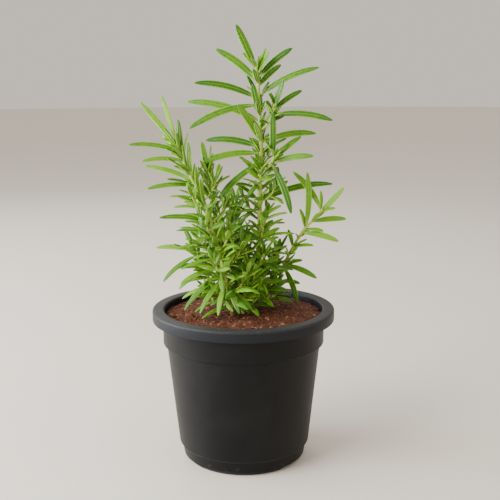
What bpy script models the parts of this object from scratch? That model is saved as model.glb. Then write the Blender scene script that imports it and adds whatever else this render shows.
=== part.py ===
"""A rosemary plant growing in a round plastic nursery pot.

Metres, +Z up.  The origin is the middle of the pot's underside, on the surface that it stands on;
-Y is the front.  Every stem and the larger leaves are solids of their own, seated a small gap
off whatever carries them.  The three short shoots in the middle of the plant keep their leaves
joined on.
"""
import math

import bmesh
import bpy
from mathutils import Vector

MM = 0.001
WELD = 0.01 * MM                # points closer than this are the same point

# ---------------------------------------------------------------- pot
RIM_RADIUS = 60.0 * MM          # outside of the rolled rim
RIM_WIDTH = 6.8 * MM            # from the outside of the rim to the outside of the wall below it
POT_HEIGHT = 102.0 * MM
WALL = 1.2 * MM
RIM_EDGE = 1.2 * MM             # rounding of the rim's two top edges
SKIRT_HEIGHT = 7.2 * MM         # how far the rim turns down
BAND_BOTTOM = 22.5 * MM         # lower edge of the plain band, below the top of the pot
BAND_STEP = 2.4 * MM            # how far the wall steps in below the band
STEP_HEIGHT = 1.6 * MM          # height of the slope that makes the step
WALL_FOOT_RADIUS = 43.5 * MM    # outside of the tapered wall where the foot begins
FOOT_HEIGHT = 9.5 * MM
FOOT_STEP = 1.7 * MM            # how far the foot is set in from the wall
FOOT_TAPER = 1.2 * MM           # how much the foot narrows down to its chamfer
FOOT_CHAMFER = 2.6 * MM
FOOT_RING = 2.4 * MM            # width of the ring that the pot stands on
CHANNEL_HEIGHT = 3.0 * MM       # underside of the raised part of the floor
PAD_RADIUS = 14.0 * MM          # flat middle of the underside, level with the foot ring
PAD_SLOPE = 2.0 * MM
FLOOR = 1.5 * MM
NOTCH_HALF_WIDTH = 9.8 * MM
NOTCH_HEIGHT = 2.7 * MM
NOTCH_COUNT = 3
FIRST_NOTCH = math.radians(-38.0)
DRAIN_RADIUS = 2.8 * MM
DRAIN_COUNT = 6
TURN_STEPS = 44
RIM_EDGE_STEPS = 3
CUTTER_SIDES = 24
CUTTER_REACH = 3                # length of a cutter, of the thickness that it goes through

# ---------------------------------------------------------------- soil
SOIL_BELOW_RIM = 4.5 * MM       # at the wall
SOIL_MOUND = 2.5 * MM           # rise from the wall to the middle
FIT_GAP = 0.3 * MM              # between any two pieces that touch in life
SOIL_RINGS = 5

# ---------------------------------------------------------------- plant
PLANT_SCALE = 1.0               # size of the stems and leaves against the lengths given below
ROUTE_SPACING = 6.0 * MM
LEAF_WIDTH = 4.2 * MM
LEAF_THICKNESS = 1.5 * MM
LEAF_ARCH = 0.16                # lift of the leaf's middle towards the stem's tip, of its length
LEAF_BASE_SHARE = 0.40          # width at the seat, of the full width
LEAF_TIP_SHARE = 0.38           # width at the blunt tip, of the full width
LEAF_WIDEST = 0.55              # where along the leaf it is widest
LEAF_THINNING = 0.4             # loss of thickness towards the tip, of the full thickness
LIGHT = Vector((-0.35, -0.90, 0.25))  # where the light comes from, front left
TURN_TO_LIGHT = 1.6             # how strongly the upper faces turn to it, 0 for not at all
LEAF_SIDES = 6
LEAF_SPANS = 5
JOINT_DEPTH = 0.5               # how deep a joined leaf starts in its shoot, of the shoot's radius

SOIL_EDGE_Z = POT_HEIGHT - SOIL_BELOW_RIM
SOIL_CREST_Z = SOIL_EDGE_Z + SOIL_MOUND
SOIL_RADIUS = RIM_RADIUS - RIM_WIDTH - WALL - FIT_GAP

# Stems.  Each route is in millimetres: right, back, and height above the crest of the soil.
# The first point of a stem with no parent only places its foot on the soil.  A side shoot
# starts on its parent's skin at the given height and turns towards its own first point.
STEMS = {
    "main_stem": {
        "route": ((8, 6, 0), (9, 5, 15), (10, 5, 37), (11, 4, 59), (11, 2, 85), (12, 1, 105),
                  (11, 0, 130), (10, 0, 151), (9, 0, 158)),
        "radius": (1.7, 0.8), "colour": "young",
    },
    "upper_side_shoot": {
        "parent": ("main_stem", 119), "route": ((17, -4, 123), (19, -6, 128), (20, -7, 134)),
        "radius": (0.8, 0.6), "colour": "young",
    },
    "lower_side_shoot": {
        "parent": ("main_stem", 94), "route": ((17, -4, 95), (19, -7, 98), (20, -8, 103)),
        "radius": (0.8, 0.6), "colour": "young",
    },
    "left_stem": {
        "route": ((-7, -13, 0), (-9, -15, 14), (-11, -16, 24), (-14, -16, 38), (-18, -14, 50),
                  (-21, -12, 62), (-24, -11, 72), (-29, -10, 82), (-35, -10, 95), (-40, -10, 108),
                  (-42, -10, 113)),
        "radius": (1.5, 0.8), "colour": "young",
    },
    "inner_shoot": {
        "route": ((-3, 0, 0), (-7, -2, 25), (-13, -4, 45), (-18, -4, 62), (-21, -4, 80), (-22, -4, 94)),
        "radius": (1.1, 0.7), "colour": "young",
    },
    "left_side_shoot": {
        "parent": ("left_stem", 7), "route": ((-18, -10, 16), (-26, -10, 31), (-31, -10, 43)),
        "radius": (1.0, 0.7), "colour": "young",
    },
    "right_stem": {
        "route": ((21, 33, 0), (23, 29, 8), (28, 21, 26), (32, 16, 36), (37, 12, 46), (42, 8, 54),
                  (48, 4, 61), (52, 2, 67)),
        "radius": (1.2, 0.7), "colour": "woody",
    },
    "middle_shoot": {
        "route": ((3, -5, 0), (4, -6, 15), (3, -7, 32), (2, -7, 44)),
        "radius": (1.1, 0.7), "colour": "young",
    },
    "back_shoot": {
        "route": ((-2, 14, 0), (-4, 16, 25), (-5, 18, 50), (-5, 19, 72)),
        "radius": (1.1, 0.7), "colour": "young",
    },
    "right_low_shoot": {
        "route": ((16, 12, 0), (18, 12, 14), (21, 12, 26), (23, 11, 36)),
        "radius": (1.0, 0.7), "colour": "young",
    },
}

# Leaves that are solids of their own: height of the seat above the soil, then how far the tip
# reaches from the seat, right, back and up, all in millimetres.
LEAVES = {
    "main_stem": (
        (157, (-11, -2, 27)), (154, (5, -4, 13)), (151, (20, 3, 18)), (149, (-25, 4, 20)),
        (146, (13, 8, 13)), (140, (36, -4, 17)), (138, (-39, -4, 10)), (129, (-4, -9, 18)),
        (134, (-42, -13, -14)), (124, (-45, 6, 12)), (112, (-13, -9, 23)), (110, (34, 8, 5)),
        (107, (-34, 7, 4)), (103, (-35, -8, -5)), (97, (-25, -10, -22)), (72, (47, 14, 9)),
    ),
    "upper_side_shoot": ((133, (4, -3, 17)), (131, (17, 7, 12)), (128, (36, -5, -3))),
    "lower_side_shoot": ((102, (1, -3, 28)), (100, (17, 8, 14)), (98, (24, -6, 5)), (97, (11, -12, -29))),
    "left_stem": (
        (112, (-9, -5, 29)), (109, (-22, 4, 28)), (106, (-30, -4, 5)), (102, (-4, 8, 23)),
        (100, (-24, -8, 1)), (90, (-2, -8, 22)), (88, (-29, 5, 9)), (84, (-28, -9, 0)),
        (61, (-30, -5, 4)), (32, (-25, -4, -9)), (29, (-23, -13, -21)), (26, (-14, -14, -20)),
        (23, (-4, -15, -18)), (20, (7, -12, -15)), (17, (13, -5, -12)),
    ),
    "inner_shoot": ((93, (-3, 3, 18)),),
    "left_side_shoot": ((42, (-24, 3, 2)), (39, (-20, -8, -15))),
    "right_stem": (
        (66, (-17, 8, 23)), (63, (15, -4, 18)), (58, (22, 6, 1)), (54, (1, -9, 36)),
        (50, (22, -7, -4)), (26, (20, -5, -8)), (24, (8, -12, -21)),
    ),
}

# Pairs of leaves that stay joined to a short shoot, each pair a quarter turn from the last:
# height of the lowest pair and of the highest, the number of pairs, the first pair's direction
# in degrees, the leaves' length at the foot and at the tip in millimetres, and their rise.
SPRIGS = {
    "middle_shoot": {"heights": (14, 42), "pairs": 5, "turn": 100, "length": (16, 10), "rise": (5, 60)},
    "back_shoot": {"heights": (18, 68), "pairs": 6, "turn": 62, "length": (19, 11), "rise": (5, 60)},
    "right_low_shoot": {"heights": (12, 34), "pairs": 4, "turn": 85, "length": (13, 9), "rise": (0, 55)},
}

LOOKS = {
    "pot_plastic": ((0.020, 0.022, 0.026), 0.48),
    "potting_soil": ((0.070, 0.026, 0.016), 0.95),
    "young_stem": ((0.34, 0.42, 0.13), 0.55),
    "woody_stem": ((0.27, 0.17, 0.08), 0.70),
    "leaf_green": ((0.13, 0.30, 0.045), 0.50),
}


# ---------------------------------------------------------------- scene and materials
def empty_scene():
    for obj in list(bpy.data.objects):
        bpy.data.objects.remove(obj, do_unlink=True)


def new_collection(name):
    collection = bpy.data.collections.new(name)
    bpy.context.scene.collection.children.link(collection)
    return collection


def make_material(name):
    colour, roughness = LOOKS[name]
    material = bpy.data.materials.new(name)
    material.use_nodes = True
    shader = material.node_tree.nodes["Principled BSDF"]
    shader.inputs["Base Color"].default_value = (*colour, 1.0)
    shader.inputs["Roughness"].default_value = roughness
    shader.inputs["Metallic"].default_value = 0.0
    return material


def place(obj, collection, material=None):
    collection.objects.link(obj)
    if material is not None:
        obj.data.materials.append(material)
    return obj


def make_guide(obj, collection):
    place(obj, collection)
    obj.hide_render = True
    obj.display_type = "WIRE"
    return obj


# ---------------------------------------------------------------- turned pieces
def arc(centre, radius, start, end, steps):
    """Points of a round corner, from one angle to another in degrees."""
    angles = [math.radians(start + (end - start) * i / steps) for i in range(steps + 1)]
    return [(centre[0] + radius * math.cos(a), centre[1] + radius * math.sin(a)) for a in angles]


def turned(name, profile):
    """A solid of revolution from a profile of (radius, height) points."""
    mesh = bpy.data.meshes.new(name)
    bm = bmesh.new()
    points = [bm.verts.new((radius, 0.0, height)) for radius, height in profile]
    for first, second in zip(points, points[1:]):
        bm.edges.new((first, second))
    bm.to_mesh(mesh)
    bm.free()
    obj = bpy.data.objects.new(name, mesh)
    screw = obj.modifiers.new("turn", "SCREW")
    screw.angle = math.tau
    screw.steps = TURN_STEPS
    screw.render_steps = TURN_STEPS
    screw.use_merge_vertices = True
    screw.merge_threshold = WELD
    screw.use_smooth_shade = True
    return obj


def wall_radius(height):
    """Outside of the tapered wall and of the foot at a height."""
    band_radius = RIM_RADIUS - RIM_WIDTH
    taper_top = POT_HEIGHT - BAND_BOTTOM - STEP_HEIGHT
    taper_bottom = FOOT_HEIGHT + FOOT_STEP
    share = (height - taper_bottom) / (taper_top - taper_bottom)
    return WALL_FOOT_RADIUS + share * (band_radius - BAND_STEP - WALL_FOOT_RADIUS)


def inner_wall(gap):
    """The inside of the pot from the floor up to the rim, drawn inwards by a gap."""
    inset = WALL + gap
    band_radius = RIM_RADIUS - RIM_WIDTH - inset
    band_z = POT_HEIGHT - BAND_BOTTOM
    floor_z = CHANNEL_HEIGHT + FLOOR + gap
    foot_z = FOOT_HEIGHT + FOOT_STEP + gap
    foot_radius = WALL_FOOT_RADIUS - FOOT_STEP - inset
    return [
        (foot_radius - FOOT_TAPER / 2, floor_z),
        (foot_radius, FOOT_HEIGHT),
        (wall_radius(foot_z) - inset, foot_z),
        (wall_radius(band_z - STEP_HEIGHT) - inset, band_z - STEP_HEIGHT + gap),
        (band_radius, band_z + gap),
    ]


def inner_floor(gap):
    """The inside of the floor from the middle out to the foot of the wall."""
    return [
        (0.0, FLOOR + gap),
        (PAD_RADIUS - gap, FLOOR + gap),
        (PAD_RADIUS + PAD_SLOPE - gap, CHANNEL_HEIGHT + FLOOR + gap),
    ]


def pot_profile():
    wall_top_radius = RIM_RADIUS - RIM_WIDTH
    under_rim = POT_HEIGHT - WALL
    band_z = POT_HEIGHT - BAND_BOTTOM
    foot_radius = WALL_FOOT_RADIUS - FOOT_STEP
    stand_radius = foot_radius - FOOT_TAPER - FOOT_CHAMFER
    inner_edge = (wall_top_radius - WALL + RIM_EDGE, POT_HEIGHT - RIM_EDGE)
    outer_edge = (RIM_RADIUS - RIM_EDGE, POT_HEIGHT - RIM_EDGE)
    return (
        inner_floor(0.0)
        + inner_wall(0.0)
        + arc(inner_edge, RIM_EDGE, 180.0, 90.0, RIM_EDGE_STEPS)
        + arc(outer_edge, RIM_EDGE, 90.0, 0.0, RIM_EDGE_STEPS)
        + [
            (RIM_RADIUS, POT_HEIGHT - SKIRT_HEIGHT),
            (RIM_RADIUS - WALL, POT_HEIGHT - SKIRT_HEIGHT),
            (RIM_RADIUS - WALL, under_rim),
            (wall_top_radius, under_rim),
            (wall_top_radius, band_z),
            (wall_top_radius - BAND_STEP, band_z - STEP_HEIGHT),
            (WALL_FOOT_RADIUS, FOOT_HEIGHT + FOOT_STEP),
            (foot_radius, FOOT_HEIGHT),
            (foot_radius - FOOT_TAPER, FOOT_CHAMFER),
            (stand_radius, 0.0),
            (stand_radius - FOOT_RING, 0.0),
            (stand_radius - FOOT_RING, CHANNEL_HEIGHT),
            (PAD_RADIUS + PAD_SLOPE, CHANNEL_HEIGHT),
            (PAD_RADIUS, 0.0),
            (0.0, 0.0),
        ]
    )


def cylinder(name, radius, depth):
    mesh = bpy.data.meshes.new(name)
    bm = bmesh.new()
    bmesh.ops.create_cone(
        bm, cap_ends=True, segments=CUTTER_SIDES, radius1=radius, radius2=radius, depth=depth,
    )
    bm.to_mesh(mesh)
    bm.free()
    return bpy.data.objects.new(name, mesh)


def cut(target, cutter):
    boolean = target.modifiers.new("cut_" + cutter.name, "BOOLEAN")
    boolean.operation = "DIFFERENCE"
    boolean.solver = "EXACT"
    boolean.object = cutter


def build_pot(collection, guides, materials):
    pot = place(turned("pot", pot_profile()), collection, materials["pot_plastic"])
    foot_outer = WALL_FOOT_RADIUS - FOOT_STEP
    foot_inner = foot_outer - FOOT_TAPER - FOOT_CHAMFER - FOOT_RING
    notch_length = CUTTER_REACH * (foot_outer - foot_inner)
    for i in range(NOTCH_COUNT):
        angle = FIRST_NOTCH + math.tau * i / NOTCH_COUNT
        notch = make_guide(cylinder(f"notch_{i + 1}", 1.0, notch_length), guides)
        for vertex in notch.data.vertices:
            vertex.co = (vertex.co.z, vertex.co.x * NOTCH_HALF_WIDTH, vertex.co.y * NOTCH_HEIGHT)
        middle = (foot_outer + foot_inner) / 2
        notch.location = (middle * math.cos(angle), middle * math.sin(angle), 0.0)
        notch.rotation_euler = (0.0, 0.0, angle)
        cut(pot, notch)
    drain_ring = (PAD_RADIUS + PAD_SLOPE + foot_inner) / 2
    for i in range(DRAIN_COUNT):
        angle = FIRST_NOTCH + math.tau * i / DRAIN_COUNT
        drain = make_guide(cylinder(f"drain_{i + 1}", DRAIN_RADIUS, CUTTER_REACH * FLOOR), guides)
        drain.location = (
            drain_ring * math.cos(angle), drain_ring * math.sin(angle), CHANNEL_HEIGHT + FLOOR / 2,
        )
        cut(pot, drain)
    return pot


def soil_height(radius):
    """Height of the mounded surface at a distance from the pot's axis."""
    return SOIL_CREST_Z - SOIL_MOUND * (radius / SOIL_RADIUS) ** 2


def build_soil(collection, materials):
    surface = [
        (SOIL_RADIUS * i / SOIL_RINGS, soil_height(SOIL_RADIUS * i / SOIL_RINGS))
        for i in range(SOIL_RINGS + 1)
    ]
    profile = surface + inner_wall(FIT_GAP)[::-1] + inner_floor(FIT_GAP)[::-1]
    return place(turned("soil", profile), collection, materials["potting_soil"])


# ---------------------------------------------------------------- stems
def plant_point(point):
    """A point of a route, as a place in the part."""
    right, back, height = (PLANT_SCALE * MM * value for value in point)
    return Vector((right, back, SOIL_CREST_Z + height))


def smooth_route(points):
    """A Catmull-Rom curve through the points, as closely spaced points."""
    padded = [2 * points[0] - points[1], *points, 2 * points[-1] - points[-2]]
    route = [points[0]]
    for before, start, end, after in zip(padded, padded[1:], padded[2:], padded[3:]):
        count = max(2, round((end - start).length / ROUTE_SPACING))
        for i in range(1, count + 1):
            t = i / count
            route.append(0.5 * (
                2 * start
                + (end - before) * t
                + (2 * before - 5 * start + 4 * end - after) * t ** 2
                + (3 * start - before - 3 * end + after) * t ** 3
            ))
    return route


class Stem:
    """The route and thickness of one stem, and the places on its skin."""

    def __init__(self, name, stems):
        design = STEMS[name]
        self.name = name
        self.foot_radius, self.tip_radius = (MM * value for value in design["radius"])
        points = [plant_point(point) for point in design["route"]]
        if "parent" in design:
            parent, height = design["parent"]
            points.insert(0, stems[parent].seat(height, points[0], self.foot_radius + FIT_GAP)[0])
        else:
            lean = (points[1] - points[0]).xy.length / (points[1] - points[0]).length
            points[0].z = soil_height(points[0].xy.length) + FIT_GAP + self.foot_radius * lean
        self.route = smooth_route(points)

    def radius(self, share):
        return self.foot_radius + (self.tip_radius - self.foot_radius) * share

    def at(self, height):
        """Point, direction and radius where the stem passes a height in millimetres."""
        level = plant_point((0, 0, height)).z
        last = len(self.route) - 2
        for i, (low, high) in enumerate(zip(self.route, self.route[1:])):
            if high.z >= level or i == last:
                share = min(max((level - low.z) / (high.z - low.z), 0.0), 1.0)
                point = low.lerp(high, share)
                return point, (high - low).normalized(), self.radius((i + share) / (last + 1))

    def seat(self, height, aim, clearance):
        """Where a piece that heads for a point starts, and the stem's direction there."""
        point, direction, radius = self.at(height)
        outward = aim - point
        outward -= outward.dot(direction) * direction
        return point + outward.normalized() * (radius + clearance), direction


def build_stem(stem, collection, material):
    curve = bpy.data.curves.new(stem.name, "CURVE")
    curve.dimensions = "3D"
    curve.resolution_u = 1
    curve.render_resolution_u = 0
    curve.bevel_depth = stem.foot_radius
    curve.bevel_resolution = 2
    curve.use_fill_caps = True
    spline = curve.splines.new("POLY")
    spline.points.add(len(stem.route) - 1)
    for i, (point, place_on_route) in enumerate(zip(spline.points, stem.route)):
        point.co = (*place_on_route, 1.0)
        point.radius = stem.radius(i / (len(stem.route) - 1)) / stem.foot_radius
    return place(bpy.data.objects.new(stem.name, curve), collection, material)


# ---------------------------------------------------------------- leaves
def leaf_outline(share):
    """Width of a leaf along its length, of its full width."""
    if share < LEAF_WIDEST:
        return LEAF_BASE_SHARE + (1 - LEAF_BASE_SHARE) * math.sin(math.pi / 2 * share / LEAF_WIDEST)
    past = (share - LEAF_WIDEST) / (1 - LEAF_WIDEST)
    return 1 - (1 - LEAF_TIP_SHARE) * past ** 2


def build_leaf(name, base, tip, stem_direction):
    """A narrow leaf with a thick section, arched up between its base and its tip."""
    chord = tip - base
    along = chord.normalized()
    lift = stem_direction - stem_direction.dot(along) * along
    crown = base + chord / 2 + lift * LEAF_ARCH * chord.length
    facing = lift.normalized() + TURN_TO_LIGHT * (LIGHT - LIGHT.dot(along) * along)
    side = facing.cross(along).normalized()
    bm = bmesh.new()
    bmesh.ops.create_cone(bm, cap_ends=True, segments=LEAF_SIDES, radius1=1.0, radius2=1.0, depth=1.0)
    lengthwise = [edge for edge in bm.edges if abs(edge.verts[0].co.z - edge.verts[1].co.z) > 0.5]
    bmesh.ops.subdivide_edges(bm, edges=lengthwise, cuts=LEAF_SPANS - 1)
    for vertex in bm.verts:
        across, through, share = vertex.co.x, vertex.co.y, vertex.co.z + 0.5
        middle = base.lerp(crown, share).lerp(crown.lerp(tip, share), share)
        direction = (crown - base).lerp(tip - crown, share).normalized()
        across_way = (side - side.dot(direction) * direction).normalized()
        upward = direction.cross(across_way)
        half_width = LEAF_WIDTH / 2 * leaf_outline(share)
        half_thickness = LEAF_THICKNESS / 2 * (1 - LEAF_THINNING * share)
        vertex.co = middle + across_way * across * half_width + upward * through * half_thickness
    mesh = bpy.data.meshes.new(name)
    bm.to_mesh(mesh)
    bm.free()
    return bpy.data.objects.new(name, mesh)


def build_single_leaves(stem, collection, material):
    for i, (height, reach) in enumerate(LEAVES[stem.name]):
        tip_offset = Vector(reach) * PLANT_SCALE * MM
        aim = stem.at(height)[0] + tip_offset
        base, direction = stem.seat(height, aim, FIT_GAP + LEAF_WIDTH * LEAF_BASE_SHARE / 2)
        leaf = build_leaf(f"{stem.name}_leaf_{i + 1:02d}", base, base + tip_offset, direction)
        place(leaf, collection, material)


def mesh_from_curve(obj, collection):
    """The same piece as a mesh with its caps welded on."""
    depsgraph = bpy.context.evaluated_depsgraph_get()
    mesh = bpy.data.meshes.new_from_object(obj.evaluated_get(depsgraph))
    bm = bmesh.new()
    bm.from_mesh(mesh)
    bmesh.ops.remove_doubles(bm, verts=bm.verts, dist=WELD)
    bm.to_mesh(mesh)
    bm.free()
    name = obj.name
    matrix = obj.matrix_world.copy()
    bpy.data.objects.remove(obj, do_unlink=True)
    solid = bpy.data.objects.new(name, mesh)
    solid.matrix_world = matrix
    collection.objects.link(solid)
    return solid


def between(pair, share):
    """The value a share of the way from the first of a pair to the second."""
    return pair[0] + (pair[1] - pair[0]) * share


def join_sprig_leaves(shoot, stem, guides):
    """Grow pairs of leaves on a short shoot and join them to it."""
    design = SPRIGS[stem.name]
    operands = bpy.data.collections.new(stem.name + "_leaves")
    guides.children.link(operands)
    last = design["pairs"] - 1
    for i in range(design["pairs"]):
        share = i / last
        height = between(design["heights"], share)
        length = PLANT_SCALE * MM * between(design["length"], share)
        rise = math.radians(between(design["rise"], share))
        for half_turn in (0, 180):
            angle = math.radians(design["turn"] + 90 * i + half_turn)
            reach = length * Vector((
                math.cos(angle) * math.cos(rise), math.sin(angle) * math.cos(rise), math.sin(rise),
            ))
            point, direction, radius = stem.at(height)
            base, _ = stem.seat(height, point + reach, -JOINT_DEPTH * radius)
            leaf = build_leaf(f"{stem.name}_{i + 1}_{half_turn}", base, base + reach, direction)
            make_guide(leaf, operands)
    union = shoot.modifiers.new("join_leaves", "BOOLEAN")
    union.operation = "UNION"
    union.solver = "EXACT"
    union.operand_type = "COLLECTION"
    union.collection = operands


def build_plant(collection, guides, materials):
    stems = {}
    for name in STEMS:
        stem = Stem(name, stems)
        stems[name] = stem
        body = build_stem(stem, collection, materials[STEMS[name]["colour"] + "_stem"])
        if name in LEAVES:
            build_single_leaves(stem, collection, materials["leaf_green"])
        if name in SPRIGS:
            join_sprig_leaves(mesh_from_curve(body, collection), stem, guides)


def main():
    empty_scene()
    collection = new_collection("potted_rosemary")
    guides = new_collection("cutters")
    materials = {name: make_material(name) for name in LOOKS}
    build_pot(collection, guides, materials)
    build_soil(collection, materials)
    build_plant(collection, guides, materials)


main()
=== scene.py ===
"""Dresses a packed potted rosemary: pot finish, soil, stems, leaves and a plain studio.

Run as a script.  The frame gives the pot, the soil, the stems and the large leaves their places
and sizes; crumbs, twigs and small leaves follow rules.  Each operator makes one piece or one group
of like pieces, and the panel lists the operators in the order they run.
"""
import math
import random
from collections import namedtuple

import bmesh
import bpy
import numpy as np
from bpy.props import FloatProperty, FloatVectorProperty, IntProperty, PointerProperty
from mathutils import Matrix, Vector
from mathutils.bvhtree import BVHTree


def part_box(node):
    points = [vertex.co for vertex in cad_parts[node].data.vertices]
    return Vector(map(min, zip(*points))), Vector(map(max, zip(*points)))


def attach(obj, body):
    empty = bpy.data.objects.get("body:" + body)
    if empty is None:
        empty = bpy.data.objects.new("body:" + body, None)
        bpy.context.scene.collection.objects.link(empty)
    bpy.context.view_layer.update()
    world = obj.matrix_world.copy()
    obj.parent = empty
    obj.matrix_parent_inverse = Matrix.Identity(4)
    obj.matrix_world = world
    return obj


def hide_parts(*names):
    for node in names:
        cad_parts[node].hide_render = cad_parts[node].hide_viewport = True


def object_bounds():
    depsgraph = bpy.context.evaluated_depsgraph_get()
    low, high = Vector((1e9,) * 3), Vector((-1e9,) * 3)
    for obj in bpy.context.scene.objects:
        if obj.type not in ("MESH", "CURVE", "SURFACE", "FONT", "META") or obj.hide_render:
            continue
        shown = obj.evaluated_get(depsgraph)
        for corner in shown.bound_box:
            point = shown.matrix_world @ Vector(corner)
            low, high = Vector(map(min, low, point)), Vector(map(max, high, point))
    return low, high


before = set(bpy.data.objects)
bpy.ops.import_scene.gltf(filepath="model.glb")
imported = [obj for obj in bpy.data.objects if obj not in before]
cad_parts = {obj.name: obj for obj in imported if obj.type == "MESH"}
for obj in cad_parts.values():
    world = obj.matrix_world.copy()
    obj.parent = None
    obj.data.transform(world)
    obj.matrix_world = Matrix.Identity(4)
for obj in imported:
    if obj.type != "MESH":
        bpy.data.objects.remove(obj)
CAD_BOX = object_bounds()

bl_info = {
    "name": "Potted Rosemary",
    "version": (1, 0, 0),
    "blender": (4, 5, 0),
    "location": "3D View > Sidebar > Rosemary",
    "description": "Builds the finished surfaces of a rosemary plant in its nursery pot",
    "category": "Object",
}

MM = 0.001
BODY = "root"
UP = np.array((0.0, 0.0, 1.0))
LIGHT = np.array(Vector((-0.35, -0.90, 0.25)))     # the side that the leaves turn to

# How small leaves and side twigs fill each stem.  cover: share of the stem at the first pair and at
# the last; step: millimetres between pairs at the foot and at the tip; length: of a leaf, in
# millimetres at the foot and at the tip; rise: degrees above level at the foot and at the tip;
# turn: direction of the first pair in degrees; tuft: share of the leaves with young ones in their
# angle; twigs: how many, and their length in millimetres.
Growth = namedtuple("Growth", "cover step length rise turn tuft twigs")
GROWTH = {
    "main_stem": Growth((0.08, 0.99), (2.9, 9.5), (24, 14), (6, 60), 75, 0.32, (12, 18)),
    "upper_side_shoot": Growth((0.40, 0.98), (2.8, 3.4), (12, 10), (20, 60), 40, 0.30, (0, 0)),
    "lower_side_shoot": Growth((0.40, 0.98), (2.8, 3.4), (13, 10), (15, 60), 10, 0.30, (0, 0)),
    "left_stem": Growth((0.09, 0.99), (2.7, 5.0), (25, 15), (2, 64), 30, 0.30, (14, 21)),
    "inner_shoot": Growth((0.12, 0.99), (3.4, 4.8), (21, 15), (6, 68), 60, 0.25, (8, 16)),
    "left_side_shoot": Growth((0.16, 0.98), (2.7, 3.6), (21, 15), (2, 58), 15, 0.20, (4, 15)),
    "right_stem": Growth((0.16, 0.98), (6.2, 8.0), (14, 11), (8, 60), 65, 0.12, (0, 0)),
    "middle_shoot": Growth((0.14, 0.98), (2.6, 3.2), (21, 14), (2, 68), 100, 0.20, (11, 18)),
    "back_shoot": Growth((0.14, 0.98), (3.0, 3.8), (22, 14), (4, 68), 62, 0.25, (9, 17)),
    "right_low_shoot": Growth((0.16, 0.98), (3.2, 3.8), (17, 13), (2, 64), 85, 0.20, (4, 12)),
}
# More long leaves, each from a height above the soil, with its reach to the right, back and up,
# in millimetres.  They give the left stem its feathered side and fill the main stem's lower half.
EXTRA_LEAVES = {
    "main_stem": (
        (92, (-13, -6, 9)), (86, (11, -8, 9)), (80, (-17, -5, 4)), (74, (-19, 4, -1)),
        (70, (13, -9, 6)), (66, (-18, -8, -2)), (62, (-15, -6, 9)), (58, (17, -6, 7)),
        (54, (-12, -15, 3)), (50, (15, 5, 9)), (46, (-18, -7, 5)), (43, (12, -13, 7)),
        (39, (-15, 9, 7)), (36, (17, -5, 6)), (32, (-14, -13, 6)), (28, (14, -11, 2)),
        (24, (-17, 3, 5)), (20, (18, 4, 4)), (16, (3, -19, 3)),
    ),
    "left_stem": (
        (82, (-15, -5, 6)), (75, (-20, -5, 3)), (72, (-14, -12, 8)), (69, (-20, -3, 2)),
        (66, (-18, 6, 5)), (60, (-8, -16, 9)), (57, (-16, -8, 6)), (53, (-21, 3, 4)),
        (50, (-10, -15, 3)), (49, (-14, -5, 12)), (47, (-25, -6, -2)), (44, (-17, -13, 3)),
        (42, (-21, 5, 8)), (38, (-24, -8, -5)), (36, (5, -16, 5)), (34, (-16, 8, 4)),
    ),
    "left_side_shoot": (
        (38, (-15, -3, 9)), (33, (-22, -6, -3)), (28, (-16, -9, -9)), (24, (-18, 3, -5)),
        (21, (-12, -13, -9)),
    ),
}
# Width of a stem's large leaves against the rest.
LARGE_WIDTHS = {
    "main_stem": 1.12, "left_stem": 0.80, "inner_shoot": 0.84, "left_side_shoot": 0.78,
    "right_stem": 0.92,
}
WOODY_STEM = "right_stem"
TWIG_STEPS = (2.7 * MM, 3.0 * MM)      # between pairs, at a twig's foot and at its tip
GOLDEN_ANGLE = 137.5                   # degrees from one twig to the next
CUT_STEP = 2.0 * MM                    # between the levels at which a stem's solid is read
CUT_REACH = 2.8 * MM                   # how far a joined shoot's skin lies from its middle line
FULL_LENGTH = 32 * MM                  # of a small leaf with its full width
NEIGHBOURHOOD = 26 * MM                # no two leaves touch when their middles are farther apart
LEAF_TO_STEM = 2.2 * MM                # least gaps between the middle lines of leaves, stems
TWIG_TO_STEM = 4.6 * MM                # and twigs
TWIG_TO_LEAF = 1.8 * MM
EXTRA_TRIES, PAIR_TRIES, TUFT_TRIES, TWIG_TRIES = 6, 10, 5, 12
OVER_SOIL = 1.6 * MM                   # least height of a leaf or twig over the soil
OVER_RIM = 3 * MM                      # and over the rim
RIM_OPENING = 47.5 * MM                # radius inside which leaves may hang below the rim's top
JOINT_REACH = 1.1 * MM                 # how far a stem swells on each side of a leaf
JOINT_SWELL = 0.22
LEFT_SHOOTS = -15 * MM                 # young shoots stand to the left of this and to the
RIGHT_SHOOTS = 30 * MM                 # right of this
DEEP_TOP = 0.175                       # the painted shade of the dense middle ends at this height
HIGH_FOOT = 0.195                      # and the plant's top starts at this one
NOTCHES = 3
NOTCH_DEPTH = 24 * MM
FOOT_MIDDLE = 38 * MM                  # radius of the foot ring's middle
DRAINS = 6
DRAIN_DEPTH = 6 * MM
FLOOR_MIDDLE = 3.7 * MM                # height of the middle of the pot's floor
PLANT_MIDDLE = 0.13                    # height that the lights point at


# ---- settings
def metres(name, description, default, **limits):
    """A setting that holds a length."""
    return FloatProperty(
        name=name, description=description, default=default, unit="LENGTH", subtype="DISTANCE",
        **limits,
    )


def degrees(name, description, default):
    """A setting that holds an angle; its default is given in degrees."""
    return FloatProperty(
        name=name, description=description, default=math.radians(default), unit="ROTATION",
        subtype="ANGLE",
    )


def watts(name, description, default):
    """A setting that holds a light's power."""
    return FloatProperty(name=name, description=description, default=default, unit="POWER")


def paint(name, description, default):
    """A setting that holds a colour."""
    return FloatVectorProperty(
        name=name, description=description, default=default, size=3, min=0.0, max=1.0,
        subtype="COLOR",
    )


def whole(name, description, default, **limits):
    """A setting that holds a whole number."""
    return IntProperty(name=name, description=description, default=default, **limits)


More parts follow.
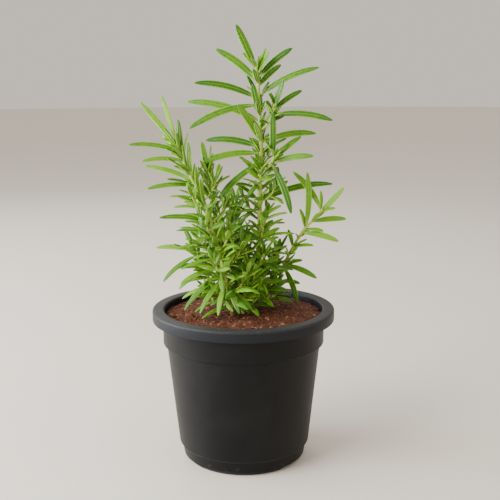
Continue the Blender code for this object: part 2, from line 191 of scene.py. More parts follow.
class PotSettings(bpy.types.PropertyGroup):
    turn_steps: whole("Turn steps", "Facets round the pot", 144, min=24)
    edge_rounding: metres("Edge rounding", "Radius of the moulded edges", 0.35 * MM, min=0.0)
    notch_half_width: metres(
        "Notch half width", "Half the width of a drainage notch in the foot", 9.8 * MM,
    )
    notch_height: metres("Notch height", "Height of a drainage notch", 2.7 * MM)
    first_notch: degrees("First notch", "Direction of the first notch from the right", -38.0)
    drain_radius: metres("Drain radius", "Radius of a hole in the floor", 2.8 * MM)
    drain_ring: metres("Drain ring", "Distance of the floor's holes from the axis", 25.8 * MM)
    colour: paint("Colour", "Colour of the moulded plastic", (0.0035, 0.0036, 0.0042))


class SoilSettings(bpy.types.PropertyGroup):
    turn_steps: whole("Turn steps", "Facets round the soil bed", 160, min=24)
    lump_size: metres("Lump size", "Spread of the soil's lumps", 7.0 * MM)
    lump_height: metres("Lump height", "Height of the soil's lumps", 1.6 * MM)
    crumbs: whole("Crumbs", "Loose crumbs on the soil", 3600, min=0)
    crumb_size: metres("Crumb size", "Mean radius of a crumb", 0.72 * MM)
    fibres: whole("Fibres", "Loose fibres on the soil", 170, min=0)
    dark: paint("Dark", "Damp soil in the hollows", (0.020, 0.007, 0.005))
    brown: paint("Brown", "Most of the soil", (0.100, 0.028, 0.010))
    pale: paint("Pale", "Dry crumbs and fibres", (0.37, 0.155, 0.070))
    seed: whole("Seed", "Places of the crumbs", 11)


class FoliageSettings(bpy.types.PropertyGroup):
    leaf_thickness: metres("Leaf thickness", "Thickness of a full-size leaf", 1.7 * MM)
    large_width: FloatProperty(
        name="Large leaf width", description="Width of a large leaf against its solid",
        default=1.26, subtype="FACTOR",
    )
    small_width: metres("Small leaf width", "Width of a small leaf at full length", 3.5 * MM)
    turn_to_light: FloatProperty(
        name="Turn to light", description="How far the large leaves' faces turn to the light",
        default=1.1, min=0.0,
    )
    arch: FloatProperty(
        name="Arch", description="Lift of a leaf's middle, of its length", default=0.15,
        min=0.0, max=1.0, subtype="FACTOR",
    )
    clearance: metres(
        "Clearance", "Least distance between the middle lines of two leaves", 1.7 * MM,
    )
    # Dark green is also the colour that the painted shade of the deep middle leans to.
    dark: paint("Dark green", "Older leaves", (0.024, 0.125, 0.002))
    light: paint("Light green", "Young leaves", (0.175, 0.425, 0.008))
    under: paint("Underside", "Pale underside of a leaf", (0.265, 0.430, 0.080))
    seed: whole("Seed", "Scatter of the small leaves", 5)


class StudioSettings(bpy.types.PropertyGroup):
    distance: metres("Distance", "Camera's distance in front of the pot's axis", 0.5776)
    height: metres("Height", "Camera's height above the floor", 0.2552)
    tilt: degrees("Tilt", "How far the camera looks down", 11.264)
    pan: degrees("Pan", "How far the camera looks to the right", 0.453)
    roll: degrees("Roll", "How far the camera leans", -0.264)
    lens: FloatProperty(
        name="Lens", description="Focal length on a 36 mm sensor, in millimetres", default=64.8,
    )
    floor_colour: paint("Floor", "Colour of the floor", (0.84, 0.79, 0.71))
    sky_colour: paint("Surround", "Colour of the light all round", (0.95, 0.88, 0.78))
    sky_strength: FloatProperty(
        name="Surround strength", description="Light all round", default=0.82,
    )
    key_power: watts("Key power", "Large soft light at the front left", 25.0)
    side_power: watts("Side power", "Low soft light at the left, for the sheen on the pot", 38.0)
    fill_power: watts("Fill power", "Soft warm light at the right", 1.9)


SETTINGS = {
    "rosemary_pot": PotSettings,
    "rosemary_soil": SoilSettings,
    "rosemary_foliage": FoliageSettings,
    "rosemary_studio": StudioSettings,
}


# ---- shader maths
class Signal:
    """A shader socket that Python's operators work on."""

    def __init__(self, look, socket):
        self.look = look
        self.socket = socket

    def maths(self, operation, first, second):
        return self.look.node("ShaderNodeMath", {"operation": operation}, {0: first, 1: second})

    def __add__(self, other):
        return self.maths("ADD", self, other)

    __radd__ = __add__

    def __sub__(self, other):
        return self.maths("SUBTRACT", self, other)

    def __rsub__(self, other):
        return self.maths("SUBTRACT", other, self)

    def __mul__(self, other):
        return self.maths("MULTIPLY", self, other)

    def __abs__(self):
        return self.maths("ABSOLUTE", self, 0.0)


class Look:
    """A material and the nodes that paint it."""

    def __init__(self, name):
        self.material = bpy.data.materials.new(name)
        self.material.use_nodes = True
        self.tree = self.material.node_tree
        self.shader = self.tree.nodes["Principled BSDF"]

    def node(self, kind, settings=None, inputs=None, output=0):
        """Add a node, set it up, feed its sockets, and give back one of its outputs."""
        made = self.tree.nodes.new(kind)
        for key, value in (settings or {}).items():
            setattr(made, key, value)
        for key, value in (inputs or {}).items():
            self.feed(made.inputs[key], value)
        return Signal(self, made.outputs[output])

    def feed(self, socket, value):
        if isinstance(value, Signal):
            self.tree.links.new(value.socket, socket)
        elif socket.type == "RGBA":
            socket.default_value = (*value[:3], 1.0)
        else:
            socket.default_value = value

    def place(self):
        return self.node("ShaderNodeTexCoord", output="Object")

    def attribute(self, name, output="Fac"):
        return self.node("ShaderNodeAttribute", {"attribute_name": name}, output=output)

    def split(self, vector):
        parts = self.node("ShaderNodeSeparateXYZ", inputs={0: vector})
        return [Signal(self, socket) for socket in parts.socket.node.outputs]

    def stretch(self, vector, scale):
        return self.node("ShaderNodeMapping", inputs={"Vector": vector, "Scale": scale})

    def noise(self, vector, scale, detail=3.0, roughness=0.55, distortion=0.0):
        return self.node("ShaderNodeTexNoise", inputs={
            "Vector": vector, "Scale": scale, "Detail": detail, "Roughness": roughness,
            "Distortion": distortion,
        })

    def cells(self, vector, scale):
        return self.node(
            "ShaderNodeTexVoronoi", inputs={"Vector": vector, "Scale": scale}, output="Distance",
        )

    def step(self, value, low, high):
        """Rises smoothly from 0 to 1 as the value goes from low to high."""
        return self.node("ShaderNodeMapRange", {"interpolation_type": "SMOOTHSTEP"}, {
            "Value": value, "From Min": low, "From Max": high,
        })

    def mix(self, share, first, second):
        return self.node(
            "ShaderNodeMix", {"data_type": "RGBA"}, {0: share, 6: first, 7: second}, output=2,
        )

    def coat(self, colour, *coats):
        """A colour under coats of (share, colour), from the lowest to the top one."""
        for share, top in coats:
            colour = self.mix(share, colour, top)
        return colour

    def bump(self, height, strength, distance, **under):
        """Relief from a height; Normal=... lays it over another relief."""
        return self.node("ShaderNodeBump", inputs={
            "Height": height, "Strength": strength, "Distance": distance, **under,
        })

    def finish(self, **sockets):
        for name, value in sockets.items():
            self.feed(self.shader.inputs[name.replace("_", " ")], value)
        return self.material


def pot_look(settings):
    """Charcoal plastic with a fine moulded grain, a painted bluish sheen on the rim band and a
    lighter painted sheen on the rim's top, dusty on the rim and scuffed on its edges.
    """
    look = Look("charcoal_plastic")
    place = look.place()
    height = look.split(place)[2]
    grain = look.noise(place, 2600.0, detail=2.0)
    smudge = look.noise(place, 38.0, detail=5.0, roughness=0.6, distortion=0.6)
    drawn = look.noise(look.stretch(place, (1.0, 1.0, 0.06)), 420.0, detail=3.0)
    # The rim's top band: it takes a lighter painted sheen, and the dust.
    rim_sheen_and_dust = look.step(height, RIM_TOP - 2.2 * MM, RIM_TOP - 0.3 * MM)
    dust = look.step(look.noise(place, 620.0, detail=6.0, roughness=0.7), 0.52, 0.74) * rim_sheen_and_dust
    foot_scuff = look.step(look.noise(place, 300.0, detail=6.0), 0.60, 0.72) * (
        1 - look.step(height, 1.5 * MM, 9.0 * MM)
    )
    lifted = tuple(min(1.0, value * 1.6 + 0.0015) for value in settings.colour)
    # From the skirt's foot up, the rim band takes a painted bluish sheen.
    painted_skirt_sheen = look.step(height, RIM_TOP - 8.2 * MM, RIM_TOP - 6.4 * MM)
    colour = look.coat(
        settings.colour,
        (look.step(smudge, 0.35, 0.75), lifted),
        # painted bluish sheen on the rim band, then a lighter painted sheen on the rim's top
        (painted_skirt_sheen * 0.40, (0.020, 0.025, 0.034)),
        (rim_sheen_and_dust * 0.45, (0.050, 0.052, 0.054)),
        (dust * 0.50 + foot_scuff * 0.30, (0.13, 0.125, 0.12)),
    )
    rough = 0.40 + smudge * 0.10 + drawn * 0.06 + dust * 0.25
    fine = look.bump(grain, 0.16, 0.06 * MM)
    return look.finish(
        Base_Color=colour, Roughness=rough, Specular_IOR_Level=0.15,
        Normal=look.bump(drawn, 0.10, 0.08 * MM, Normal=fine),
    )


def soil_look(settings, name, loose):
    """Damp coir and peat: dark in the hollows, reddish brown on top, with pale dry specks."""
    look = Look(name)
    place = look.place()
    lumps = look.noise(place, 190.0, detail=6.0, roughness=0.65)
    grit = look.cells(place, 1150.0)
    fibres = look.noise(look.stretch(place, (1.0, 0.35, 1.0)), 900.0, detail=5.0, distortion=1.2)
    tone = lumps * 0.75 + fibres * 0.35
    colour = look.mix(look.step(tone, 0.34, 0.62), settings.dark, settings.brown)
    if loose:
        own = look.attribute("tone")
        colour = look.mix(look.step(own, 0.30, 1.0) * 0.75, colour, settings.pale)
    else:
        specks = look.step(look.cells(place, 820.0), 0.16, 0.05)
        colour = look.mix(specks * 0.35, colour, settings.pale)
    rough = 0.80 + lumps * 0.15
    coarse = look.bump(fibres, 0.7, 0.5 * MM)
    return look.finish(
        Base_Color=colour, Roughness=rough, Specular_IOR_Level=0.35,
        Normal=look.bump(grit, 0.5, 0.35 * MM, Normal=coarse),
    )


def stem_look(name, woody):
    """Green-yellow young wood, browner towards the foot, with fine ribs and leaf scars."""
    look = Look(name)
    place = look.place()
    along = look.attribute("along")
    swell = look.attribute("swell")
    ribs = look.noise(look.stretch(place, (1.0, 1.0, 0.10)), 1500.0, detail=4.0, roughness=0.6)
    blotch = look.noise(place, 260.0, detail=4.0)
    bark_top = 0.75 if woody else 0.16
    bark = 1 - look.step(along + (blotch - 0.5) * 0.25, bark_top * 0.35, bark_top)
    young = look.mix(look.step(ribs, 0.35, 0.7), (0.30, 0.43, 0.05), (0.50, 0.62, 0.12))
    blush = look.step(look.noise(place, 120.0, detail=2.0), 0.55, 0.75)
    young = look.mix(blush * 0.12, young, (0.45, 0.30, 0.10))
    old = look.mix(look.step(ribs, 0.35, 0.7), (0.115, 0.055, 0.024), (0.34, 0.20, 0.10))
    colour = look.mix(bark, young, old)
    colour = look.mix(swell * 0.35, colour, (0.46, 0.46, 0.12))
    return look.finish(
        Base_Color=colour, Roughness=0.52 + bark * 0.25 + ribs * 0.1, Specular_IOR_Level=0.3,
        Normal=look.bump(ribs, 0.45, 0.25 * MM), Subsurface_Weight=0.06,
        Subsurface_Radius=(0.6 * MM, 0.8 * MM, 0.2 * MM), Subsurface_Scale=1.0,
    )


def leaf_look(settings):
    """Waxy green leaf: pale midrib in a groove, rolled margins and a pale felted underside."""
    look = Look("rosemary_leaf")
    place = look.place()
    across, along, upper = look.split(look.attribute("leaf_place", "Vector"))
    tone = look.attribute("tone")
    mottle = look.noise(place, 420.0, detail=2.0, roughness=0.5)
    pebble = look.cells(place, 900.0)
    swell = look.noise(place, 330.0, detail=0.0)
    streaks = look.noise(place, 1700.0, detail=2.0)
    edge = look.step(abs(across), 0.62, 0.98)
    rib = (1 - look.step(abs(across), 0.02, 0.15)) * (1 - look.step(along, 0.70, 0.97))
    beside_rib = look.step(abs(across), 0.10, 0.20) * (1 - look.step(abs(across), 0.22, 0.48))
    foot = 1 - look.step(along, 0.02, 0.20)
    # The tone attribute holds each leaf's own tone and, in the deep middle, painted shade.
    green = look.coat(
        settings.dark,
        (look.step(tone + (mottle - 0.5) * 0.40, 0.05, 0.95), settings.light),
        (edge * 0.62, (0.42, 0.62, 0.05)),
        (rib * 0.40, (0.33, 0.56, 0.04)),
        (beside_rib * 0.40, tuple(value * 0.55 for value in settings.dark)),
        (foot * 0.55, (0.42, 0.52, 0.13)),
    )
    under = look.mix(look.step(streaks, 0.25, 0.80), settings.under, (0.195, 0.340, 0.050))
    dry_tip = look.step(along, 0.955, 0.995) * look.step(look.attribute("dry"), 0.55, 0.8)
    colour = look.coat(
        green, (look.step(upper, 0.62, 0.30), under), (dry_tip * 0.7, (0.27, 0.16, 0.045)),
    )
    rough = 0.40 + mottle * 0.14 + (1 - look.step(upper, 0.3, 0.7)) * 0.22
    fine = look.bump(pebble, 0.05, 0.08 * MM)
    return look.finish(
        Base_Color=colour, Roughness=rough, Specular_IOR_Level=0.30,
        Subsurface_Weight=0.16, Subsurface_Radius=(0.7 * MM, 1.0 * MM, 0.2 * MM),
        Subsurface_Scale=1.0, Normal=look.bump(swell, 0.22, 0.30 * MM, Normal=fine),
    )


def floor_look(settings):
    """Plain warm grey, hardly clouded."""
    look = Look("studio_floor")
    cloud = look.noise(look.place(), 3.0, detail=2.0)
    dimmer = tuple(value * 0.97 for value in settings.floor_colour)
    return look.finish(
        Base_Color=look.mix(cloud, settings.floor_colour, dimmer), Roughness=0.55,
    )


# ---- modelling aids
def deselect_all():
    if bpy.context.mode != "OBJECT":
        bpy.ops.object.mode_set(mode="OBJECT")
    bpy.ops.object.select_all(action="DESELECT")


def take(obj):
    """Make an object the only selected one, and the active one."""
    deselect_all()
    obj.select_set(True)
    bpy.context.view_layer.objects.active = obj


def edit_all():
    bpy.ops.object.mode_set(mode="EDIT")
    bpy.ops.mesh.select_all(action="SELECT")


def close_edit():
    """Turn every face outwards and leave edit mode."""
    bpy.ops.mesh.select_all(action="SELECT")
    bpy.ops.mesh.normals_make_consistent(inside=False)
    bpy.ops.object.mode_set(mode="OBJECT")


def fresh(name):
    """Name the primitive that was just added."""
    obj = bpy.context.active_object
    obj.name = name
    obj.data.name = name
    return obj


def choose(obj, test):
    """In edit mode, select only the vertices whose place passes a test."""
    bpy.ops.mesh.select_mode(type="VERT")
    bpy.ops.mesh.select_all(action="DESELECT")
    edit = bmesh.from_edit_mesh(obj.data)
    for vertex in edit.verts:
        vertex.select_set(bool(test(vertex.co)))
    edit.select_flush(True)
    bmesh.update_edit_mesh(obj.data)


def choose_edges(obj, test):
    bpy.ops.mesh.select_mode(type="EDGE")
    bpy.ops.mesh.select_all(action="DESELECT")
    edit = bmesh.from_edit_mesh(obj.data)
    for edge in edit.edges:
        edge.select_set(bool(test(edge.verts[0].co, edge.verts[1].co)))
    bmesh.update_edit_mesh(obj.data)


def apply_modifiers(obj):
    take(obj)
    for modifier in list(obj.modifiers):
        bpy.ops.object.modifier_apply(modifier=modifier.name)


def discard(*objects):
    for obj in objects:
        mesh = obj.data
        bpy.data.objects.remove(obj, do_unlink=True)
        bpy.data.meshes.remove(mesh)


def dress(obj, material, slot, nodes=()):
    """Give a finished piece its material, its body and the CAD nodes that it stands for."""
    obj.data.materials.clear()
    obj.data.materials.append(material)
    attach(obj, BODY)
    if nodes:
        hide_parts(*nodes)


def profile_of(node):
    """The half outline of a turned node, as ordered (radius, height) points."""
    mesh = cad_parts[node].data
    links = {}
    for edge in mesh.edges:
        ends = [mesh.vertices[index].co for index in edge.vertices]
        if any(abs(end.y) > 0.01 * MM or end.x < -0.01 * MM for end in ends):
            continue
        first, second = [(round(end.x / MM, 3), round(end.z / MM, 3)) for end in ends]
        if first != second:
            links.setdefault(first, set()).add(second)
            links.setdefault(second, set()).add(first)
    inner = min(key[0] for key in links)
    chain = [max((key for key in links if key[0] == inner), key=lambda key: key[1])]
    while True:
        following = [key for key in links[chain[-1]] if key not in chain]
        if not following:
            break
        chain.append(min(following, key=lambda key: math.dist(key, chain[-1])))
    if chain[0][0] > 0.01:
        chain.insert(0, (0.0, chain[0][1]))
    chain.append((0.0, chain[-1][1]))
    return [(max(radius, 0.0) * MM, height * MM) for radius, height in chain]


def draw_profile(name, profile):
    """Draw a half outline in the XZ plane: one vertex of a plane, extruded from point to point."""
    deselect_all()
    bpy.ops.mesh.primitive_plane_add(size=1.0)
    obj = fresh(name)
    edit_all()
    bpy.ops.mesh.merge(type="CENTER")
    bpy.ops.transform.translate(value=(profile[0][0], 0.0, profile[0][1]))
    for (radius, height), (next_radius, next_height) in zip(profile, profile[1:]):
        bpy.ops.mesh.extrude_vertices_move(
            TRANSFORM_OT_translate={"value": (next_radius - radius, 0.0, next_height - height)},
        )
    return obj


def turn(steps):
    """Spin the outline that is being edited into a closed solid."""
    bpy.ops.mesh.select_all(action="SELECT")
    bpy.ops.mesh.spin(steps=steps, angle=math.tau, center=(0.0, 0.0, 0.0), axis=(0.0, 0.0, 1.0))
    bpy.ops.mesh.select_all(action="SELECT")
    bpy.ops.mesh.remove_doubles(threshold=0.01 * MM)
    close_edit()


def places(mesh):
    """A mesh's vertices as rows of x, y and z."""
    points = np.empty(len(mesh.vertices) * 3)
    mesh.vertices.foreach_get("co", points)
    return points.reshape(-1, 3)


def triangles_of(mesh):
    mesh.calc_loop_triangles()
    corners = np.empty(len(mesh.loop_triangles) * 3, dtype=np.int64)
    mesh.loop_triangles.foreach_get("vertices", corners)
    return corners.reshape(-1, 3)


def unit(vectors):
    return vectors / np.linalg.norm(vectors, axis=-1, keepdims=True)


def part_way(ends, share):
    """A value some way from a first to a second."""
    return ends[0] + (ends[1] - ends[0]) * share


def less(vector, along):
    """A vector without its part along a unit vector."""
    return vector - (vector @ along) * along


def outward(direction, angle):
    """Straight out from a stem, towards a compass angle."""
    return unit(less(np.array((math.cos(angle), math.sin(angle), 0.0)), direction))


# ---- reading the frame
class Line:
    """A bent middle line with a thickness."""

    def __init__(self, route, radii):
        self.route = np.array(route)
        self.radii = np.array(radii)
        self.measure()

    def measure(self):
        self.legs = np.linalg.norm(np.diff(self.route, axis=0), axis=1)
        self.reached = np.concatenate([[0.0], np.cumsum(self.legs)])
        self.length = self.reached[-1]

    def extend_foot(self, point, radius):
        self.route = np.vstack([point, self.route])
        self.radii = np.concatenate([[radius], self.radii])
        self.measure()

    def at(self, share):
        """Point, direction and radius at a share of the length."""
        distance = min(max(share, 0.0), 1.0) * self.length
        i = min(int(np.searchsorted(self.reached, distance, side="right")) - 1, len(self.legs) - 1)
        part = (distance - self.reached[i]) / self.legs[i]
        step = self.route[i + 1] - self.route[i]
        radius = part_way(self.radii[i:], part)
        return self.route[i] + step * part, step / self.legs[i], radius

    def nearest(self, point):
        """Share of the length, point and radius where the line passes closest."""
        starts, steps = self.route[:-1], np.diff(self.route, axis=0)
        part = np.clip(((point - starts) * steps).sum(axis=1) / self.legs ** 2, 0.0, 1.0)
        spots = starts + steps * part[:, None]
        i = int(np.argmin(np.linalg.norm(spots - point, axis=1)))
        radius = part_way(self.radii[i:], part[i])
        return (self.reached[i] + self.legs[i] * part[i]) / self.length, spots[i], radius


def level_cut(points, triangles, level):
    """Where the edges of a solid cross a level."""
    first = points[triangles.ravel()]
    second = points[np.roll(triangles, -1, axis=1).ravel()]
    crosses = (first[:, 2] - level) * (second[:, 2] - level) < 0
    first, second = first[crosses], second[crosses]
    share = (level - first[:, 2]) / (second[:, 2] - first[:, 2])
    return first + (second - first) * share[:, None]


def read_line(name):
    """Read a stem's middle line and a straight taper from level cuts through its solid."""
    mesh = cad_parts[name].data
    points, triangles = places(mesh), triangles_of(mesh)
    low = points[:, 2].min()
    high = SHOOT_TOPS.get(name, points[:, 2].max())
    reach = CUT_REACH if name in SHOOT_TOPS else math.inf
    near = points[points[:, 2] < low + 0.7 * MM].mean(axis=0)
    drift = np.zeros(3)
    route, radii = [], []
    for level in np.arange(low + 0.8 * MM, high - 0.5 * MM, min(CUT_STEP, (high - low) / 12)):
        cut = level_cut(points, triangles, level)
        guess = near + drift
        guess[2] = level
        close = cut[np.linalg.norm(cut - guess, axis=1) < reach]
        if not len(close):
            continue
        near = (close.min(axis=0) + close.max(axis=0)) / 2
        if route:
            drift = (near - route[-1]) * 0.8
        route.append(near)
        radii.append(np.percentile(np.linalg.norm(close - near, axis=1), 15))
    slope, start = np.polyfit(np.arange(len(radii)), radii, 1)
    radii = np.maximum(start + slope * np.arange(len(radii)), 0.4 * MM)
    smooth = np.array(route)
    smooth[1:-1] = (smooth[:-2] + 2 * smooth[1:-1] + smooth[2:]) / 4
    foot = smooth[0] - (smooth[2] - smooth[0]) * 0.4
    tip = smooth[-1] + (smooth[-1] - smooth[-3]) * 0.3
    radii = np.concatenate([radii[:1], radii, radii[-1:] * 0.8])
    return Line(np.vstack([foot, smooth, tip]), radii)


class Leaf:
    """The bent middle line of one leaf, which way it faces, and its size."""

    def __init__(self, base, crown, tip, across, width, thickness, tone, dry, twist):
        self.base, self.crown, self.tip = base, crown, tip
        self.across = across
        self.width, self.thickness = width, thickness
        self.tone, self.dry = tone, dry
        self.twist = twist

    def middle(self, t):
        """Points on the middle line, at shares of it."""
        return (1 - t) ** 2 * self.base + 2 * t * (1 - t) * self.crown + t ** 2 * self.tip

    def points(self, count):
        return self.middle(np.linspace(0.0, 1.0, count)[:, None])

    def bend(self, model):
        """Lay the straight model leaf along the middle line."""
        t = model[:, 2:3]
        along = unit(2 * (1 - t) * (self.crown - self.base) + 2 * t * (self.tip - self.crown))
        side = unit(self.across - (along @ self.across)[:, None] * along)
        facing = np.cross(along, side)
        turned = self.twist * t
        across = side * np.cos(turned) + facing * np.sin(turned)
        through = facing * np.cos(turned) - side * np.sin(turned)
        return (
            self.middle(t)
            + across * model[:, 0:1] * self.width / 2
            + through * model[:, 1:2] * self.thickness / 2
        )


def leaf_from_node(node, stem, settings, chance):
    """Read a leaf's base, bend, tip and width from its solid."""
    points = np.unique(np.round(places(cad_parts[node].data), 7), axis=0)
    middle = points.mean(axis=0)
    axis = np.linalg.svd(points - middle)[2][0]
    order = points[np.argsort((points - middle) @ axis)]
    rings = np.array_split(order, len(order) // 6)
    centres = np.array([ring.mean(axis=0) for ring in rings])
    gaps = [np.linalg.norm(centre - stem.nearest(centre)[1]) for centre in centres[[0, -1]]]
    if gaps[0] > gaps[1]:
        rings, centres = rings[::-1], centres[::-1]
    widest = rings[len(rings) // 2]
    widest = widest - widest.mean(axis=0)
    across = np.linalg.svd(widest)[2][0]
    width = 2 * np.abs(widest @ across).max() / math.cos(math.radians(30))
    _, spot, radius = stem.nearest(centres[0])
    base = spot + unit(centres[0] - spot) * radius * 0.75
    tip = centres[-1]
    halfway = (centres[len(centres) // 2 - 1] + centres[len(centres) // 2]) / 2
    crown = 2 * halfway - (centres[0] + tip) / 2
    along = unit(tip - base)
    facing = np.cross(along, across)
    if facing @ (UP + LIGHT) < 0:
        facing = -facing
    across = unit(np.cross(facing + settings.turn_to_light * less(LIGHT, along), along))
    length = np.linalg.norm(tip - base)
    width *= settings.large_width * LARGE_WIDTHS.get(node.rsplit("_leaf_", 1)[0], 1.0)
    thickness = settings.leaf_thickness * min(1.0, 0.55 + 18 * length)
    tone = 0.50 + 0.25 * chance.uniform(-1, 1) + tone_of_place(base)
    return Leaf(
        base, crown, tip, across, width, thickness, tone, chance.random(),
        chance.uniform(-0.2, 0.2),
    )


def tone_of_place(point):
    """Young shoots at the sides are lighter and the plant's top is darker; the darker leaves in its
    deep middle are painted shade.
    """
    x, y, z = point
    outer = 0.04 if x < LEFT_SHOOTS else 0.16 if x > RIGHT_SHOOTS else 0.0
    # Painted shade: leaves deep in the middle, behind the front, are darker.
    deep_shade = -0.12 if y > 2 * MM and z < DEEP_TOP and x < 11 * MM else 0.0
    high = -0.16 if z > HIGH_FOOT and x > LEFT_SHOOTS else 0.0
    return outer + deep_shade + high


# ---- model shapes
def cut_cylinder(name, sides, cuts):
    """Start to edit an upright cylinder, one unit long and two wide, cut across its sides."""
    deselect_all()
    bpy.ops.mesh.primitive_cylinder_add(
        vertices=sides, radius=1.0, depth=1.0, location=(0.0, 0.0, 0.5),
    )
    obj = fresh(name)
    bpy.ops.object.transform_apply(location=True)
    bpy.ops.object.mode_set(mode="EDIT")
    choose_edges(obj, lambda a, b: abs(a.z - b.z) > 0.5)
    bpy.ops.mesh.subdivide(number_cuts=cuts)
    return obj


def squeeze(across, through, upwards=1.0, center=(0.0, 0.0, 0.0)):
    bpy.ops.transform.resize(value=(across, through, upwards), center_override=center)


def shift(x, y, z):
    bpy.ops.transform.translate(value=(x, y, z))


def model_leaf():
    """A straight leaf one unit long and two wide: a grooved face and edges rolled under."""
    # Where each pair of the ten edges along the leaf goes, across and through it.
    edges = ((0.0, 0.26), (0.50, 0.74), (1.02, 0.10), (0.66, -0.62), (0.33, -0.10), (0.0, -0.46))
    # Each ring's height, width and thickness.
    rings = (
        (0.0, 0.30, 0.9), (0.09, 0.50, 1.0), (0.27, 0.84, 1.0), (0.50, 1.0, 1.0),
        (0.73, 0.90, 0.92), (0.91, 0.60, 0.75), (1.0, 0.17, 0.35),
    )
    spans = len(rings) - 1
    leaf = cut_cylinder("model_leaf", 10, spans - 1)
    for row, (x, y) in enumerate(edges):
        angle = math.radians(36 * row)
        old_x, old_y = math.sin(angle), math.cos(angle)
        choose(leaf, lambda co: abs(abs(co.x) - old_x) < 0.01 and abs(co.y - old_y) < 0.01)
        squeeze(x / old_x if old_x > 0.01 else 1.0, y / old_y)
    for i, (height, wide, thick) in enumerate(rings):
        choose(leaf, lambda co: abs(co.z - i / spans) < 0.01)
        squeeze(wide, thick)
    # Rings that go up are moved from the top down and the others from the foot up, so that no
    # ring meets another on its way.
    moves = [(i / spans, height - i / spans) for i, (height, _, _) in enumerate(rings)]
    rising = [move for move in reversed(moves) if move[1] >= 0]
    for old, change in rising + [move for move in moves if move[1] < 0]:
        choose(leaf, lambda co: abs(co.z - old) < 0.001)
        shift(0.0, 0.0, change)
    close_edit()
    return leaf


def model_stem(rings, sides):
    """A straight stem one unit long and two wide, cut into rings, with a rounded tip."""
    stem = cut_cylinder("model_stem", sides, rings - 1)
    choose(stem, lambda co: co.z > 0.999)
    bpy.ops.mesh.extrude_region_move(TRANSFORM_OT_translate={"value": (0.0, 0.0, 0.004)})
    squeeze(0.45, 0.45, center=(0.0, 0.0, 1.0))
    bpy.ops.object.mode_set(mode="OBJECT")
    return stem


def model_crumb(name, seed, squash):
    """An angular crumb, about one unit in radius."""
    deselect_all()
    bpy.ops.mesh.primitive_ico_sphere_add(subdivisions=1, radius=1.0)
    crumb = fresh(name)
    edit_all()
    bpy.ops.transform.vertex_random(offset=0.34, seed=seed)
    squeeze(1.0, 0.8, squash)
    close_edit()
    return crumb


def model_fibre():
    """A short bent strand, two units long."""
    deselect_all()
    bpy.ops.mesh.primitive_cylinder_add(
        vertices=4, radius=0.09, depth=2.0, rotation=(0.0, math.pi / 2, 0.0),
    )
    fibre = fresh("model_fibre")
    bpy.ops.object.transform_apply(rotation=True)
    bpy.ops.object.mode_set(mode="EDIT")
    choose_edges(fibre, lambda a, b: abs(a.x - b.x) > 1.0)
    bpy.ops.mesh.subdivide(number_cuts=3)
    choose(fibre, lambda co: abs(co.x) < 0.1)
    shift(0.0, 0.0, 0.22)
    choose(fibre, lambda co: 0.3 < co.x < 0.7)
    shift(0.0, 0.16, 0.12)
    bpy.ops.object.mode_set(mode="OBJECT")
    return fibre


def shape_of(obj):
    """A model's vertices, and its faces as corner lists."""
    return places(obj.data), [list(face.vertices) for face in obj.data.polygons]


def join_copies(name, copies, attributes):
    """One object from placed copies of shapes.

    copies holds (points, faces) pairs; attributes maps a name to one array per copy.
    """
    points, faces, start = [], [], 0
    for placed, corners in copies:
        points.append(placed)
        faces.extend([index + start for index in face] for face in corners)
        start += len(placed)
    mesh = bpy.data.meshes.new(name)
    mesh.from_pydata(np.concatenate(points).tolist(), [], faces)
    for key, arrays in attributes.items():
        values = np.concatenate(arrays)
        kind, field = ("FLOAT", "value") if values.ndim == 1 else ("FLOAT_VECTOR", "vector")
        mesh.attributes.new(key, kind, "POINT").data.foreach_set(field, values.ravel())
    mesh.shade_smooth()
    obj = bpy.data.objects.new(name, mesh)
    bpy.context.scene.collection.objects.link(obj)
    return obj


# ---- shared by the operators
RIM_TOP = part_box("pot")[1][2]
SOIL_RADIUS, _, SOIL_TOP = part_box("soil")[1]
SOIL_MOUND = SOIL_TOP - max(profile_of("soil"))[1]
# Where the middle lines of the shoots with joined leaves end.
SHOOT_TOPS = {
    "middle_shoot": SOIL_TOP + 44 * MM,
    "back_shoot": SOIL_TOP + 72 * MM,
    "right_low_shoot": SOIL_TOP + 36 * MM,
}
plant = {"stems": {}, "twigs": {}, "leaves": {}, "spots": np.empty((0, 3))}


def read_stems():
    """Read every stem once, and root each side shoot in its parent."""
    stems = {name: read_line(name) for name in GROWTH}
    for name, stem in stems.items():
        foot = stem.route[0]
        if foot[2] < SOIL_TOP + 2 * MM:
            direction = unit(stem.route[0] - stem.route[2])
            stem.extend_foot(foot + direction * 4.5 * MM, stem.radii[0] * 1.15)
            continue
        others = [other for key, other in stems.items() if key != name]
        parent = min(others, key=lambda other: np.linalg.norm(other.nearest(foot)[1] - foot))
        stem.extend_foot(parent.nearest(foot)[1], stem.radii[0] * 1.1)
    plant["stems"] = stems
    return stems


def soil_level(points):
    """Height of the mounded soil under some points."""
    share = np.hypot(points[:, 0], points[:, 1]) / SOIL_RADIUS
    return SOIL_TOP - SOIL_MOUND * share ** 2


def gap_between(points, others):
    """The least distance from some points to others."""
    if not len(others):
        return math.inf
    return np.linalg.norm(points[:, None] - others[None], axis=2).min()


def inside_part(points):
    """Whether points lie above the soil, clear of the rim, and in the part's box."""
    low, high = (np.array(corner) for corner in CAD_BOX)
    if (points < low).any() or (points > high).any():
        return False
    over_soil = points[:, 2] > soil_level(points) + OVER_SOIL
    over_rim = points[:, 2] > RIM_TOP + OVER_RIM
    inside_rim = np.hypot(points[:, 0], points[:, 1]) < RIM_OPENING
    return bool((over_soil & (over_rim | inside_rim)).all())


def all_twigs():
    return [twig for twigs in plant["twigs"].values() for twig in twigs]


